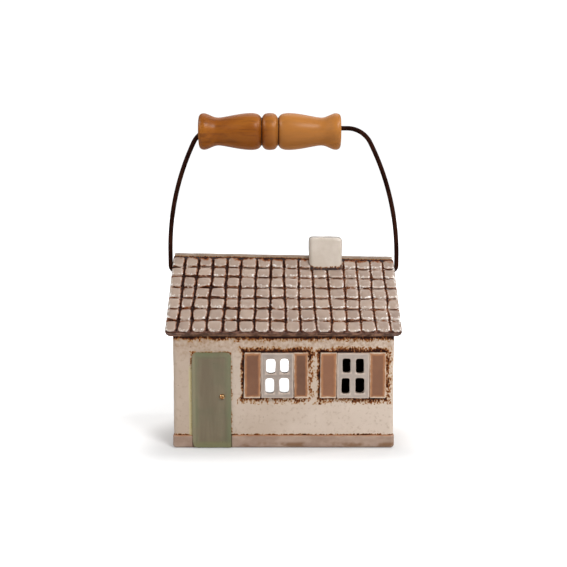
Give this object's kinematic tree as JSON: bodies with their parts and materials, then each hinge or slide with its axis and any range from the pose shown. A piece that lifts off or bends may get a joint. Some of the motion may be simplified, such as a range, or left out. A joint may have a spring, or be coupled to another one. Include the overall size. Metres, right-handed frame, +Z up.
{
  "type": "tealight house",
  "caption": "Glazed ceramic cottage lantern with a tiled roof, pierced windows, a back opening for a tealight and a swinging wire bail with a turned wooden grip.",
  "frame": {"origin": "on the ground, under the middle of the house", "axes": "+Z up; the front wall with its door faces -Y; the ridge and the bail's pivot run along X"},
  "size_m": [0.1428, 0.0878, 0.1974],
  "materials": {
    "wall_glaze": "gloss",
    "plinth_glaze": "gloss",
    "shutter_glaze": "satin",
    "frame_glaze": "gloss",
    "roof_glaze": "gloss",
    "chimney_glaze": "gloss",
    "door_glaze": "satin",
    "gold_lustre": "gloss",
    "blackened_wire": "satin",
    "varnished_wood": "satin varnish",
    "cup_foil": "bright",
    "candle_wax": "waxy",
    "tab_steel": "bright",
    "wick_cotton": "matt"
  },
  "bodies": {
    "house": {"floor_slab": "wall_glaze", "front_wall": "wall_glaze", "back_wall": "wall_glaze", "left_gable": "wall_glaze", "right_gable": "wall_glaze", "front_roof": "roof_glaze", "back_roof": "roof_glaze", "ridge_roll_left": "roof_glaze", "ridge_roll_right": "roof_glaze", "chimney": "chimney_glaze", "door": "door_glaze", "door_knob": "gold_lustre", "left_window_frame": "frame_glaze", "right_window_frame": "frame_glaze", "left_window_left_shutter": "shutter_glaze", "left_window_right_shutter": "shutter_glaze", "right_window_left_shutter": "shutter_glaze", "right_window_right_shutter": "shutter_glaze", "plinth_front_left": "plinth_glaze", "plinth_front_right": "plinth_glaze", "plinth_back_left": "plinth_glaze", "plinth_back_right": "plinth_glaze", "plinth_left_side": "plinth_glaze", "plinth_right_side": "plinth_glaze"},
    "bail": {"bail_wire": "blackened_wire"},
    "grip": {"wooden_grip": "varnished_wood"},
    "tealight": {"tealight_cup": "cup_foil", "tealight_wax": "candle_wax", "wick_sustainer": "tab_steel", "wick": "wick_cotton"}
  },
  "joints": [
    {"name": "bail_swing", "type": "hinge", "parent": "house", "child": "bail", "pos_m": [0, 0, 0.10043], "axis": [1, 0, 0], "range_deg": [-110, 110]},
    {"name": "grip_spin", "type": "hinge", "parent": "bail", "child": "grip", "pos_m": [-0.008, 0, 0.18603], "axis": [1, 0, 0], "continuous": true},
    {"name": "tealight_slide", "type": "slide", "parent": "house", "child": "tealight", "axis": [0, 1, 0], "range_m": [0, 0.08]}
  ]
}
